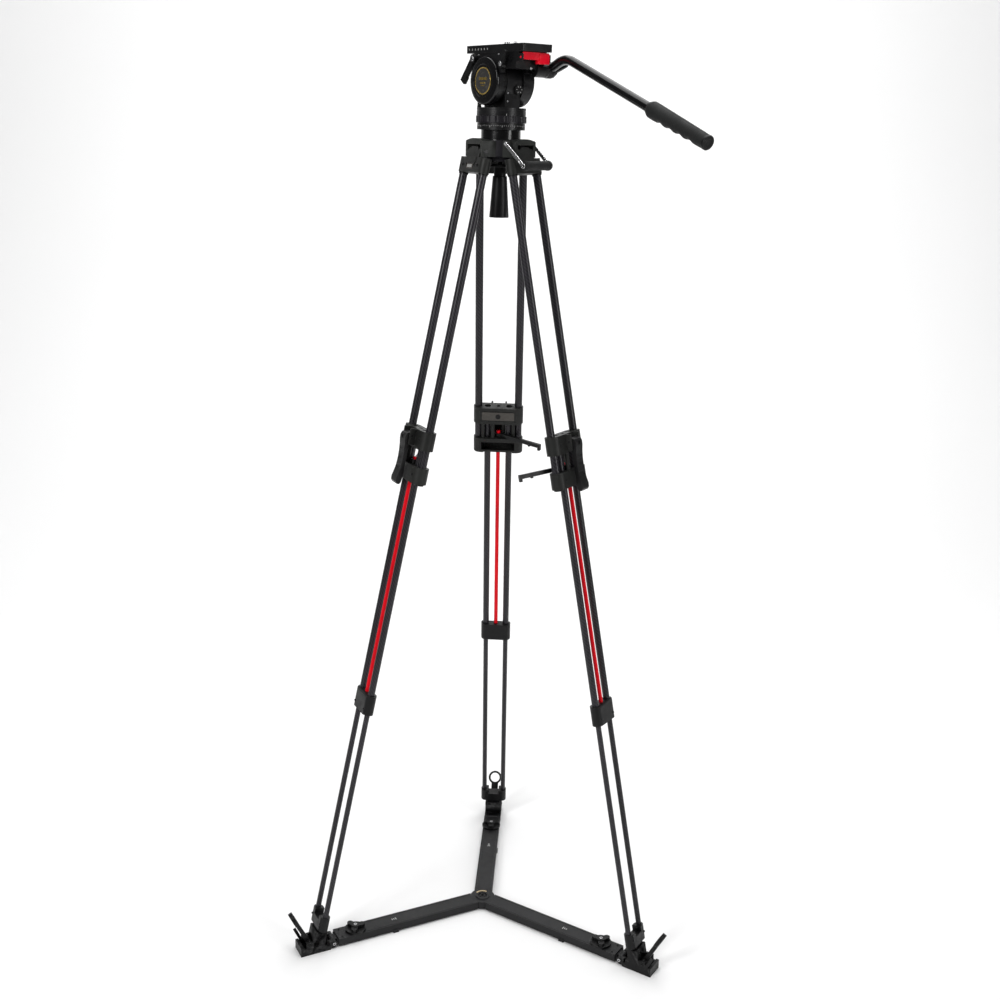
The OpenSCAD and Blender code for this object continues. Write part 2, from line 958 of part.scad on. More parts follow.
module arm_sleeve() {
    difference() {
        union() {
            span([20, -arm_w / 2, arm_low], [sleeve_end, arm_w / 2, arm_low + arm_t]);
            // small foot pad under the sleeve
            span([202, -arm_w / 2 - 1.5, 0], [214, arm_w / 2 + 1.5, arm_low + 4]);
        }
        // channel of the sliding arm
        span([60, -arm_w / 2 + wall, arm_low + wall],
             [sleeve_end + 1, arm_w / 2 - wall, arm_low + arm_t - wall]);
        // the hub's place
        translate([0, 0, -1])
            cylinder(r = 26, h = arm_low + arm_t + 4);
        // mitres between neighbouring arms
        for (s = [-1, 1])
            rotate([0, 0, s * 60])
                translate([0, s > 0 ? 0 : -60, -1])
                    cube([90, 60, 40]);
        // screw hole of the clamp knob
        translate([knob_r, 0, arm_low + arm_t - wall - 1])
            cylinder(r = 4.2, h = wall + 2);
    }
}

module arm_sleeves() {
    color([0.24, 0.24, 0.25])
        for (k = [1:3])
            on_arm(k)
                arm_sleeve();
}

// sliding arm with the knuckle of the tray hinge
module spreader_arm(k) {
    half = arm_w / 2 - wall - gap;
    color([0.18, 0.18, 0.19])
        on_arm(k)
            difference() {
                union() {
                    span([110, -half, arm_low + wall + gap],
                         [hinge_r - 7.5, half, arm_low + arm_t - wall - gap]);
                    span([hinge_r - 8, -9, arm_low + wall + gap], [hinge_r, 9, arm_low + arm_t - wall - gap]);
                    y_rod(6, -9, 9, hinge_r, hinge_z);
                    y_rod(2.5, -arm_w / 2, arm_w / 2, hinge_r, hinge_z);
                }
                // long slot under the clamp knob
                span([176, -4.5, arm_low], [hinge_r - 16, 4.5, arm_low + arm_t]);
            }
}

// clamp knob with three lobes on a round flange
module arm_knob(k) {
    top = arm_low + arm_t;
    color([0.08, 0.08, 0.08])
        on_arm(k)
            translate([knob_r, 0, top + gap])
                union() {
                    cylinder(r = 21, h = 4);
                    for (i = [0:2])
                        rotate([0, 0, 120 * i + 60])
                            union() {
                                span([0, -6, 3], [14, 6, 10.5]);
                                translate([14, 0, 3])
                                    cylinder(r = 6, h = 7.5);
                            }
                    translate([0, 0, 3])
                        cylinder(r = 9, h = 9);
                    translate([0, 0, -wall - 4])
                        cylinder(r = 3.5, h = wall + 6);
                }
}

// tray that the leg's foot stands in, tilted with the leg
module foot_tray(k) {
    half = arm_w / 2;
    color([0.1, 0.1, 0.1])
        on_arm(k)
            difference() {
                union() {
                    // sole
                    span([hinge_r + 7, -half, 0], [tray_end, half, 9]);
                    // hinge ears
                    for (s = [-1, 1])
                        span([hinge_r - 1, s * (half + 9.6) / 2 - (half - 9.6) / 2, arm_low],
                             [hinge_r + 10, s * (half + 9.6) / 2 + (half - 9.6) / 2, arm_low + arm_t - 2]);
                    for (s = [-1, 1])
                        y_rod(6.5, s * (half + 9.6) / 2 - (half - 9.6) / 2,
                              s * (half + 9.6) / 2 + (half - 9.6) / 2, hinge_r, hinge_z);
                    // outer lip
                    span([tray_end - 6, -half, 0], [tray_end, half, 19]);
                    // side walls
                    for (s = [-1, 1])
                        span([356, s * (half - 2) - 2, 0], [tray_end, s * (half - 2) + 2, 16]);
                    // ears of the foot lever
                    for (s = [-1, 1])
                        span([384, s * 17 - 2, 5], [400, s * 17 + 2, 27]);
                    // socket block in line with the leg
                    intersection() {
                        translate([pivot_r, 0, pivot_z])
                            rotate([0, -leg_angle, 0])
                                span([-11, -half, -1600], [11, half, -1551]);
                        span([300, -50, 0.5], [500, 50, 80]);
                    }
                    // hooked prong beside the lever
                    translate([397, -half, 8])
                        rotate([0, 25, 0])
                            span([-3, 0, 0], [3, 4, 40]);
                }
                // pocket for the leg's foot
                translate([pivot_r, 0, pivot_z])
                    rotate([0, -leg_angle, 0])
                        span([-7.8, -14.8, -spike_end - 2], [7.8, 14.8, -1500]);
                // hinge pin
                y_rod(2.5 + slip, -half - 1, half + 1, hinge_r, hinge_z);
                // pin of the foot lever
                y_rod(2.5 + slip / 2, -half - 1, half + 1, 392, 22);
                // rounded edge at the hinge so the tray can lift
                span([hinge_r - 12, -half - 1, -1], [hinge_r + 7.5, half + 1, arm_low - 0.5]);
            }
}

// lever with a finger ring that locks the foot in its tray
module foot_lever(k) {
    color([0.1, 0.1, 0.1])
        on_arm(k)
            translate([392, 0, 22])
                rotate([0, 27, 0])
                    difference() {
                        union() {
                            y_rod(6, -14.5, 14.5);
                            y_rod(2.5 - slip / 2, -19, 19);
                            span([-4, -8, 0], [4, 8, 50]);
                            translate([0, 0, 62])
                                x_rod(15.5, -4, 4);
                        }
                        translate([0, 0, 62])
                            x_rod(11, -6, 6);
                    }
}

// ---------------------------------------------------------------- output

crown();
hinge_pins();
carry_arms();
carry_grip();
half_ball();
tie_down_handle();
graduated_ring();
pan_drag_ring();
pan_housing();
pan_lock_lever();
bubble_level();
counterbalance_knob();
tilt_housing();
tilt_axle();
tilt_cap();
tilt_drag_ring();
tilt_lock_lever();
plate_lock_lever();
camera_plate();
camera_screws();
release_lever();
rosette();
clamp_wing();
pan_bar();
bar_grip();
spreader_hub();
arm_sleeves();
for (k = [1:3]) {
    spreader_arm(k);
    arm_knob(k);
    foot_tray(k);
    foot_lever(k);
    leg_castings(k);
    upper_tubes(k);
    clamp_lever(k);
    rod_lever(k);
    mid_stage(k);
    lock_rod(k);
    lower_stage(k);
}
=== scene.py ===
# Visual model of the tripod with a fluid head: procedural materials, softened CAD nodes,
# added fittings, plain studio. All lengths are metres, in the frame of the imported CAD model.
import json
import math

import bmesh
import bpy
from mathutils import Matrix, Vector


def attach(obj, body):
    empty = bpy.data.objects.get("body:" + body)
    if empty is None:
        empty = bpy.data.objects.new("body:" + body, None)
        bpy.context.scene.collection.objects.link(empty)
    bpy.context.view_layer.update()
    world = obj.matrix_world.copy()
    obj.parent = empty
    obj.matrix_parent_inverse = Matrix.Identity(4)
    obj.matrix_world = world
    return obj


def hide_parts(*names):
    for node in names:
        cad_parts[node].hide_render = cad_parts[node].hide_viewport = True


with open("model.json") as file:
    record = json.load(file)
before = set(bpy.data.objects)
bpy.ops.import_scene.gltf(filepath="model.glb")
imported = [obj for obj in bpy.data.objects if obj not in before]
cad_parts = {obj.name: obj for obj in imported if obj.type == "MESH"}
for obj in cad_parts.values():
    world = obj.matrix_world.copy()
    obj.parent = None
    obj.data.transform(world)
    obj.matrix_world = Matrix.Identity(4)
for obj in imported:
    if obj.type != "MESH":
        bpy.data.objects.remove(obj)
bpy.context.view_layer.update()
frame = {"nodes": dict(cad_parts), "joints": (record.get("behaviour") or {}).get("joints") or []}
MM = 0.001
LEGS = (1, 2, 3)
JOINTS = {j["name"]: j for j in frame["joints"]}


# ---------------------------------------------------------------- local frames

def axes_frame(origin, x, y, z):
    """Matrix with these axes as columns, placed at origin."""
    m = Matrix((x, y, z)).transposed().to_4x4()
    m.translation = origin
    return m


def joint_axis(name):
    return Vector(JOINTS[name]["axis"]).normalized()


def joint_point(name):
    return Vector(JOINTS[name]["pos_m"])


UP = Vector((0, 0, 1))
TILT_AXIS = joint_axis("tilt_turn")
TILT_Z = joint_point("tilt_turn").z
HEAD = axes_frame(Vector(), TILT_AXIS.cross(UP), TILT_AXIS, UP)
PIVOT = {k: joint_point(f"leg_spread_{k}") for k in LEGS}
OUTWARD = {k: Vector((PIVOT[k].x, PIVOT[k].y, 0)).normalized() for k in LEGS}
ALONG = {k: UP.cross(OUTWARD[k]) for k in LEGS}
DOWN = {k: joint_axis(f"mid_slide_{k}") for k in LEGS}
DOWN = {k: d if d.z < 0 else -d for k, d in DOWN.items()}
LEG = {k: axes_frame(PIVOT[k], ALONG[k].cross(-DOWN[k]), ALONG[k], -DOWN[k]) for k in LEGS}
ARM = {k: axes_frame(Vector(), OUTWARD[k], ALONG[k], UP) for k in LEGS}


def at(base, x, y, z, turn=None):
    """A frame inside base at x, y, z in millimetres; turn is (axis, degrees) or a list of them."""
    m = base @ Matrix.Translation((x * MM, y * MM, z * MM))
    for axis, degrees in (turn if isinstance(turn, list) else [turn] if turn else []):
        m = m @ Matrix.Rotation(math.radians(degrees), 4, axis)
    return m


# ---------------------------------------------------------------- node helpers

class Tree:
    """Short calls for building a material's nodes."""

    def __init__(self, name, material=None):
        self.material = material or bpy.data.materials.new(name)
        self.material.use_nodes = True
        self.nodes = self.material.node_tree.nodes
        self.links = self.material.node_tree.links
        self.shader = self.nodes["Principled BSDF"]
        self.coords = self.nodes.new("ShaderNodeTexCoord")

    def join(self, source, target):
        if isinstance(source, (int, float)):
            target.default_value = source
        elif isinstance(source, (tuple, list)):
            target.default_value = tuple(source) + (1.0,) * (4 - len(source))
        else:
            self.links.new(source, target)

    def math(self, kind, a, b=0.0, c=0.0):
        node = self.nodes.new("ShaderNodeMath")
        node.operation = kind
        for value, socket in zip((a, b, c), node.inputs):
            self.join(value, socket)
        return node.outputs[0]

    def noise(self, scale, detail=2.0, rough=0.5, vector=None, stretch=None):
        node = self.nodes.new("ShaderNodeTexNoise")
        node.inputs["Scale"].default_value = scale
        node.inputs["Detail"].default_value = detail
        node.inputs["Roughness"].default_value = rough
        source = vector or self.coords.outputs["Object"]
        if stretch:
            mapping = self.nodes.new("ShaderNodeMapping")
            mapping.inputs["Scale"].default_value = stretch
            self.links.new(source, mapping.inputs["Vector"])
            source = mapping.outputs["Vector"]
        self.links.new(source, node.inputs["Vector"])
        return node.outputs["Fac"]

    def cells(self, scale, feature="F1", vector=None):
        node = self.nodes.new("ShaderNodeTexVoronoi")
        node.feature = feature
        node.inputs["Scale"].default_value = scale
        self.links.new(vector or self.coords.outputs["Object"], node.inputs["Vector"])
        return node.outputs["Distance"]

    def spread(self, value, low, high, to_low=0.0, to_high=1.0):
        node = self.nodes.new("ShaderNodeMapRange")
        for socket, number in zip(list(node.inputs)[1:5], (low, high, to_low, to_high)):
            socket.default_value = number
        self.links.new(value, node.inputs[0])
        return node.outputs[0]

    def mix(self, share, a, b):
        node = self.nodes.new("ShaderNodeMix")
        node.data_type = "RGBA"
        self.join(share, node.inputs["Factor"])
        self.join(a, node.inputs[6])
        self.join(b, node.inputs[7])
        return node.outputs[2]

    def bump(self, height, distance, strength=1.0, over=None):
        node = self.nodes.new("ShaderNodeBump")
        node.inputs["Strength"].default_value = strength
        node.inputs["Distance"].default_value = distance
        self.links.new(height, node.inputs["Height"])
        if over:
            self.links.new(over, node.inputs["Normal"])
        return node.outputs["Normal"]

    def edges(self, radius):
        """1 on outer and inner edges, 0 on flats."""
        bevel = self.nodes.new("ShaderNodeBevel")
        bevel.samples = 4
        bevel.inputs["Radius"].default_value = radius
        geometry = self.nodes.new("ShaderNodeNewGeometry")
        dot = self.nodes.new("ShaderNodeVectorMath")
        dot.operation = "DOT_PRODUCT"
        self.links.new(bevel.outputs["Normal"], dot.inputs[0])
        self.links.new(geometry.outputs["True Normal"], dot.inputs[1])
        return self.spread(dot.outputs["Value"], 0.99, 0.86)

    def set(self, name, value):
        self.join(value, self.shader.inputs[name])


def scaled(colour, factor):
    return tuple(min(1.0, c * factor) for c in colour)


def worn_surface(name, colour, rough, metal=0.0, grain=900.0, depth=0.00004, vary=0.25,
                 wear=None, wear_amount=0.5, coat=0.0, coat_rough=0.2, specular=0.5, speckle=0.0):
    """Painted, moulded or anodised surface: colour drift, grain, uneven gloss and edge wear."""
    t = Tree(name)
    drift = t.spread(t.noise(14, 4), 0.35, 0.65)
    base = t.mix(drift, scaled(colour, 1 - vary), scaled(colour, 1 + vary))
    fine = t.noise(grain, 3, 0.6)
    if speckle:
        base = t.mix(t.math("MULTIPLY", t.spread(fine, 0.6, 0.72), speckle), base, scaled(colour, 3.2))
    smudge = t.noise(55, 5, 0.62)
    if wear:
        broken = t.math("MULTIPLY", t.edges(0.0007), t.spread(t.noise(160, 4), 0.42, 0.62))
        broken = t.math("MULTIPLY", broken, wear_amount)
        base = t.mix(broken, base, wear)
    t.set("Base Color", base)
    t.set("Metallic", metal)
    t.set("Roughness", t.spread(smudge, 0.3, 0.7, max(0.03, rough - 0.09), min(1.0, rough + 0.1)))
    t.shader.inputs["Specular IOR Level"].default_value = specular
    t.shader.inputs["Coat Weight"].default_value = coat
    t.shader.inputs["Coat Roughness"].default_value = coat_rough
    t.set("Normal", t.bump(fine, depth))
    return t.material


def turned_metal(name, colour, rough, ring_scale=900.0, metal=1.0):
    """Bare or anodised metal with turning lines round the local height."""
    t = Tree(name)
    lines = t.noise(ring_scale, 2, 0.5, stretch=(0.05, 0.05, 1.0))
    smudge = t.noise(70, 4)
    t.set("Base Color", t.mix(t.spread(smudge, 0.3, 0.7), scaled(colour, 0.82), scaled(colour, 1.08)))
    t.set("Metallic", metal)
    t.set("Roughness", t.spread(lines, 0.3, 0.7, max(0.04, rough - 0.07), rough + 0.1))
    t.set("Normal", t.bump(lines, 0.00001, 0.6))
    return t.material


def carbon_weave(name):
    """Twill woven tows under clear lacquer, with painted sheen on one tow direction and painted shade in
    the gaps between tows. U and V of the map count tows.
    """
    t = Tree(name)
    split = t.nodes.new("ShaderNodeSeparateXYZ")
    t.links.new(t.coords.outputs["UV"], split.inputs[0])
    u, v = split.outputs[0], split.outputs[1]
    step = t.math("ADD", t.math("FLOOR", u), t.math("FLOOR", v))
    warp = t.math("LESS_THAN", t.math("FRACT", t.math("MULTIPLY", step, 0.25)), 0.5)

    def crown(value):
        offset = t.math("ABSOLUTE", t.math("SUBTRACT", t.math("FRACT", value), 0.5))
        return t.math("SUBTRACT", 1.0, t.math("POWER", t.math("MULTIPLY", offset, 2.0), 3.0))

    height = t.math("ADD", t.math("MULTIPLY", warp, crown(u)),
                    t.math("MULTIPLY", t.math("SUBTRACT", 1.0, warp), crown(v)))
    fibres = t.noise(9, 3, 0.6, vector=t.coords.outputs["UV"], stretch=(3.0, 3.0, 1.0))
    cloudy = t.spread(t.noise(5, 3), 0.35, 0.65, 0.75, 1.3)
    # painted sheen: tows of one direction are lighter as if catching the light, and the other direction
    # stays near black
    sheen_lit_tows = t.mix(fibres, (0.011, 0.01, 0.013), (0.04, 0.036, 0.046))
    dark = t.mix(fibres, (0.0035, 0.0032, 0.004), (0.012, 0.011, 0.0135))
    woven = t.mix(warp, dark, sheen_lit_tows)
    # painted shade: colour goes near black towards the edges of every tow, in the gaps between tows
    tows_with_painted_gap_shade = t.mix(height, (0.004, 0.004, 0.005), woven)
    value = t.nodes.new("ShaderNodeHueSaturation")
    t.links.new(tows_with_painted_gap_shade, value.inputs["Color"])
    t.links.new(cloudy, value.inputs["Value"])
    t.set("Base Color", value.outputs[0])
    t.set("Roughness", t.math("ADD", 0.3, t.math("MULTIPLY", warp, 0.16)))
    t.shader.inputs["Specular IOR Level"].default_value = 0.22
    t.shader.inputs["Coat Weight"].default_value = 0.25
    t.shader.inputs["Coat Roughness"].default_value = 0.2
    t.set("Normal", t.bump(height, 0.00006, 0.7))
    return t.material


def speckled_disc(name):
    """Dark cap face with pale flecks, like cast resin."""
    t = Tree(name)
    flecks = t.spread(t.cells(420), 0.34, 0.12)
    haze = t.spread(t.noise(120, 5, 0.7), 0.45, 0.65)
    base = t.mix(t.math("MULTIPLY", flecks, haze), (0.02, 0.019, 0.018), (0.34, 0.3, 0.24))
    t.set("Base Color", base)
    t.set("Roughness", 0.38)
    t.shader.inputs["Coat Weight"].default_value = 0.4
    t.set("Normal", t.bump(flecks, 0.00003))
    return t.material


def vial_glass(name):
    """Green level liquid behind clear plastic."""
    t = Tree(name)
    t.set("Base Color", t.mix(t.spread(t.noise(90, 2), 0.4, 0.6), (0.5, 0.78, 0.12), (0.66, 0.9, 0.26)))
    t.set("Roughness", t.spread(t.noise(300, 2), 0.3, 0.7, 0.04, 0.1))
    t.shader.inputs["Transmission Weight"].default_value = 0.35
    t.shader.inputs["Coat Weight"].default_value = 1.0
    return t.material


CROWN_HUB = 43.4


def crown_paint(name):
    """Textured grey paint on the shoulders, near-black hub wall between them."""
    material = worn_surface(name, (0.019, 0.0205, 0.0185), 0.46, grain=1300, depth=0.00012,
                            wear=(0.2, 0.2, 0.19), wear_amount=0.5, speckle=0.3, specular=0.22)
    t = Tree(name, material)
    split = t.nodes.new("ShaderNodeSeparateXYZ")
    t.links.new(t.coords.outputs["Object"], split.inputs[0])
    x, y = split.outputs[0], split.outputs[1]
    radius = t.math("SQRT", t.math("ADD", t.math("MULTIPLY", x, x), t.math("MULTIPLY", y, y)))
    painted = t.shader.inputs["Base Color"].links[0].from_socket
    hub = t.math("LESS_THAN", radius, CROWN_HUB * MM)
    t.set("Base Color", t.mix(hub, painted, (0.009, 0.0082, 0.011)))
    return material


MATERIALS = {
    "casting": worn_surface("casting", (0.0125, 0.013, 0.012), 0.46, grain=1300, depth=0.00012,
                            wear=(0.15, 0.15, 0.145), wear_amount=0.5, speckle=0.3, specular=0.22),
    "crown_paint": crown_paint("crown_paint"),
    "carbon": carbon_weave("carbon"),
    "black_anodised": worn_surface("black_anodised", (0.0048, 0.0048, 0.0053), 0.33, grain=1800,
                                   depth=0.00002, wear=(0.12, 0.12, 0.12), wear_amount=0.4,
                                   specular=0.28),
    "black_plastic": worn_surface("black_plastic", (0.0036, 0.0036, 0.0039), 0.4, grain=1100, depth=0.00006,
                                  wear=(0.05, 0.05, 0.05), wear_amount=0.5, specular=0.22),
    "gloss_black": worn_surface("gloss_black", (0.003, 0.003, 0.0034), 0.2, grain=700, depth=0.000012,
                                coat=0.2, coat_rough=0.1, wear=(0.05, 0.05, 0.05), wear_amount=0.3,
                                specular=0.25),
    "rubber": worn_surface("rubber", (0.0125, 0.013, 0.013), 0.6, grain=1500, depth=0.00014, vary=0.18,
                           wear=(0.07, 0.07, 0.07), wear_amount=0.5, specular=0.16),
    "red": worn_surface("red", (0.74, 0.004, 0.02), 0.24, grain=500, depth=0.00001, vary=0.1, coat=0.4,
                        coat_rough=0.1, wear=(0.95, 0.25, 0.25), wear_amount=0.4, specular=0.3),
    "red_rod": worn_surface("red_rod", (0.72, 0.003, 0.012), 0.36, grain=700, depth=0.00001, vary=0.12,
                            specular=0.12),
    "chrome": turned_metal("chrome", (0.86, 0.86, 0.87), 0.1),
    "steel": turned_metal("steel", (0.5, 0.5, 0.51), 0.28),
    "level": vial_glass("level"),
    "spreader": worn_surface("spreader", (0.0085, 0.0085, 0.0092), 0.4, grain=1600, depth=0.00003,
                             wear=(0.12, 0.12, 0.12), wear_amount=0.35, specular=0.24),
    "gold": turned_metal("gold", (0.74, 0.52, 0.14), 0.24),
    "brass_washer": turned_metal("brass_washer", (0.6, 0.48, 0.3), 0.38),
    "speckled_disc": speckled_disc("speckled_disc"),
    # light grey for the printed label bars, also used as painted light in the camera plate's side slots
    "print_and_slot_light_white": worn_surface("print_and_slot_light_white", (0.42, 0.42, 0.41), 0.45, grain=800, depth=0.00001,
                                vary=0.08),
    "label_brown": worn_surface("label_brown", (0.055, 0.05, 0.044), 0.4, grain=900, depth=0.00003,
                                vary=0.15, speckle=0.4, specular=0.3),
    "mark_white": worn_surface("mark_white", (0.5, 0.5, 0.49), 0.55, grain=900, depth=0.00001, vary=0.12),
    "dark_ring": worn_surface("dark_ring", (0.008, 0.0072, 0.0095), 0.34, grain=1500, depth=0.00003,
                              wear=(0.09, 0.085, 0.1), wear_amount=0.5, specular=0.28),
}


# ---------------------------------------------------------------- mesh helpers

def finish_modifiers(obj, width, segments=2, angle=32):
    """Rounded edges and even shading."""
    if width:
        bevel = obj.modifiers.new("edges", "BEVEL")
        bevel.width = width * MM
        bevel.segments = segments
        bevel.limit_method = "ANGLE"
        bevel.angle_limit = math.radians(angle)
        bevel.miter_outer = "MITER_ARC"
        bevel.use_clamp_overlap = True
    normals = obj.modifiers.new("normals", "WEIGHTED_NORMAL")
    normals.weight = 60
    normals.keep_sharp = False


def shading_group():
    """Geometry nodes that drop the imported normals and shade smooth."""
    group = bpy.data.node_groups.new("clean_shading", "GeometryNodeTree")
    group.interface.new_socket("Geometry", in_out="INPUT", socket_type="NodeSocketGeometry")
    group.interface.new_socket("Geometry", in_out="OUTPUT", socket_type="NodeSocketGeometry")
    enter = group.nodes.new("NodeGroupInput")
    leave = group.nodes.new("NodeGroupOutput")
    smooth = group.nodes.new("GeometryNodeSetShadeSmooth")
    remove = group.nodes.new("GeometryNodeRemoveAttribute")
    remove.inputs["Name"].default_value = "custom_normal"
    group.links.new(enter.outputs[0], remove.inputs["Geometry"])
    group.links.new(remove.outputs["Geometry"], smooth.inputs["Geometry"])
    group.links.new(smooth.outputs["Geometry"], leave.inputs[0])
    return group


CLEAN_SHADING = shading_group()


def soften(node, material, width=0.6, segments=2):
    """Gives a CAD node its material and rounded edges, without touching its mesh data."""
    obj = frame["nodes"][node]
    obj.data.materials.clear()
    obj.data.materials.append(MATERIALS[material])
    clean = obj.modifiers.new("clean", "NODES")
    clean.node_group = CLEAN_SHADING
    weld = obj.modifiers.new("weld", "WELD")
    weld.merge_threshold = 0.00001
    flat = obj.modifiers.new("flats", "DECIMATE")
    flat.decimate_type = "DISSOLVE"
    flat.angle_limit = math.radians(0.6)
    finish_modifiers(obj, width, segments)
    return obj


def piece(name, mesh, matrix, body, material, width=0.0, segments=2):
    """Places a finished bmesh as a named piece on a body."""
    data = bpy.data.meshes.new(name)
    bmesh.ops.recalc_face_normals(mesh, faces=mesh.faces[:])
    mesh.to_mesh(data)
    mesh.free()
    for polygon in data.polygons:
        polygon.use_smooth = True
    obj = bpy.data.objects.new(name, data)
    bpy.context.scene.collection.objects.link(obj)
    obj.matrix_world = matrix
    data.materials.append(MATERIALS[material])
    finish_modifiers(obj, width, segments)
    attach(obj, body)
    return obj


def ring_of(mesh, radius, z, count, shape=None):
    """One ring of vertices about Z; shape scales the radius by angle."""
    made = []
    for i in range(count):
        angle = 2 * math.pi * i / count
        r = radius * (shape(angle) if shape else 1.0)
        made.append(mesh.verts.new((r * math.cos(angle) * MM, r * math.sin(angle) * MM, z * MM)))
    return made


def bridge(mesh, low, high, uv=None, v0=0.0, v1=1.0, tows=1.0):
    count = len(low)
    for i in range(count):
        j = (i + 1) % count
        face = mesh.faces.new((low[i], low[j], high[j], high[i]))
        if uv:
            for loop, (a, b) in zip(face.loops, ((i, v0), (i + 1, v0), (i + 1, v1), (i, v1))):
                loop[uv].uv = (tows * a / count, b)


def lathe(profile, count=48, mesh=None, shape=None, loop=False):
    """Solid of revolution about Z from (radius, height) pairs in millimetres."""
    mesh = mesh or bmesh.new()
    rings = [ring_of(mesh, max(r, 0.01), z, count, shape) for r, z in profile]
    for low, high in zip(rings, rings[1:] + (rings[:1] if loop else [])):
        bridge(mesh, low, high)
    if not loop:
        mesh.faces.new(rings[0])
        mesh.faces.new(rings[-1])
    return mesh


def block(low, high, mesh=None):
    """Box from corner to corner, in millimetres."""
    mesh = mesh or bmesh.new()
    size = [(h - l) * MM for l, h in zip(low, high)]
    middle = [(h + l) * MM / 2 for l, h in zip(low, high)]
    bmesh.ops.create_cube(mesh, size=1.0, matrix=Matrix.Translation(middle) @ Matrix.Diagonal((*size, 1)))
    return mesh


def prism(outline, z0, z1, mesh=None):
    """Outline in millimetres, raised from z0 to z1."""
    mesh = mesh or bmesh.new()
    low = [mesh.verts.new((x * MM, y * MM, z0 * MM)) for x, y in outline]
    high = [mesh.verts.new((x * MM, y * MM, z1 * MM)) for x, y in outline]
    mesh.faces.new(low)
    mesh.faces.new(high)
    for i in range(len(outline)):
        j = (i + 1) % len(outline)
        mesh.faces.new((low[i], low[j], high[j], high[i]))
    return mesh


def rounded(w, h, r, steps=5):
    """Outline of a rectangle with round corners, centred."""
    points = []
    for cx, cy, start in ((1, 1, 0), (-1, 1, 90), (-1, -1, 180), (1, -1, 270)):
        for i in range(steps + 1):
            a = math.radians(start + 90 * i / steps)
            points.append((cx * (w / 2 - r) + r * math.cos(a), cy * (h / 2 - r) + r * math.sin(a)))
    return points


def hexagon(angle):
    """Radius of a hexagon whose corners are at 1."""
    return math.cos(math.pi / 6) / math.cos(angle % (math.pi / 3) - math.pi / 6)


def screw(name, matrix, r, body, material="steel", proud=1.6):
    """Socket-head screw: rounded head with a hexagon recess; Z points out."""
    mesh = bmesh.new()
    count = 24
    rings = [ring_of(mesh, rr, z, count) for rr, z in
             ((r, -0.6), (r, proud * 0.7), (r * 0.86, proud), (r * 0.62, proud))]
    rings += [ring_of(mesh, r * 0.56, proud, count, hexagon),
              ring_of(mesh, r * 0.52, proud - r * 0.5, count, hexagon)]
    for low, high in zip(rings, rings[1:]):
        bridge(mesh, low, high)
    mesh.faces.new(rings[0])
    mesh.faces.new(rings[-1])
    return piece(name, mesh, matrix, body, material, 0.15)


def carbon_sleeve(name, k, y, top, bottom, diameter, body):
    """Woven skin of one tube, with a map that counts tows."""
    tow = 1.8
    mesh = bmesh.new()
    uv = mesh.loops.layers.uv.new("UVMap")
    count = 48
    tows = 4 * max(1, round(math.pi * diameter / (4 * tow)))
    stations = [-top - (bottom - top) * i / 8 for i in range(9)]
    skin = diameter / 2 + 0.04
    rings = [ring_of(mesh, skin, z, count) for z in stations]
    for low, high, z0, z1 in zip(rings, rings[1:], stations, stations[1:]):
        bridge(mesh, low, high, uv, z0 / tow, z1 / tow, tows)
    for end, z in ((rings[0], stations[0]), (rings[-1], stations[-1])):
        inner = ring_of(mesh, diameter / 2 - 0.3, z, count)
        bridge(mesh, end, inner, uv, z / tow, z / tow + 0.2, tows)
    return piece(name, mesh, at(LEG[k], 0, y, 0), body, "carbon")


# ---------------------------------------------------------------- CAD nodes with their finishes

HEAD_NODES = {
    "half_ball": ("gloss_black", 0.5), "graduated_ring": ("black_anodised", 0.4),
    "pan_drag_ring": ("dark_ring", 0.6), "pan_housing": ("black_anodised", 0.8),
    "pan_lock_lever": ("black_plastic", 0.8), "bubble_level": ("level", 0.4),
    "counterbalance_knob": ("black_plastic", 0.6), "tilt_housing": ("black_anodised", 0.8),
    "tilt_axle": ("steel", 0.4), "tilt_cap": ("gloss_black", 0.5), "tilt_drag_ring": ("black_plastic", 0.4),
    "tilt_lock_lever": ("black_plastic", 1.2), "plate_lock_lever": ("black_plastic", 1.2),
    "camera_plate": ("black_anodised", 0.6), "camera_screws": ("steel", 0.3),
    "release_lever": ("red", 0.9), "rosette": ("black_anodised", 0.2), "clamp_wing": ("black_plastic", 1.3),
    "pan_bar": ("gloss_black", 0.8), "tie_down_handle": ("black_plastic", 0.9),
    "crown": ("crown_paint", 1.1), "hinge_pins": ("black_anodised", 0.4), "carry_arms": ("chrome", 0.4),
    "carry_grip": ("rubber", 1.0), "spreader_hub": ("spreader", 0.7), "arm_sleeves": ("spreader", 0.9),
}
LEG_NODES = {
    "leg_castings": ("casting", 0.9), "upper_tubes": ("carbon", 0.2), "clamp_lever": ("black_plastic", 1.0),
    "rod_lever": ("black_plastic", 0.9), "mid_stage": ("black_plastic", 0.7), "lock_rod": ("red_rod", 0.4),
    "lower_stage": ("black_plastic", 0.7), "spreader_arm": ("spreader", 0.5),
    "arm_knob": ("black_plastic", 1.6), "foot_tray": ("black_plastic", 0.9),
    "foot_lever": ("black_plastic", 1.2),
}
for node_name, (material_name, edge_width) in HEAD_NODES.items():
    soften(node_name, material_name, edge_width)
for node_stem, (material_name, edge_width) in LEG_NODES.items():
    for k in LEGS:
        soften(f"{node_stem}_{k}", material_name, edge_width)


# ---------------------------------------------------------------- legs

UPPER_HALF, MID_HALF = 40.5, 22.0
UPPER_D, MID_D, LOWER_D = 15.0, 13.0, 10.5
YOKE_END, CLAMP_TOP, CLAMP_LOW = 38, 513, 581
MID_TOP, COLLAR_TOP, LOWER_TOP, FOOT_TOP = 522, 1040, 1000, 1515
DARK = "black_anodised"


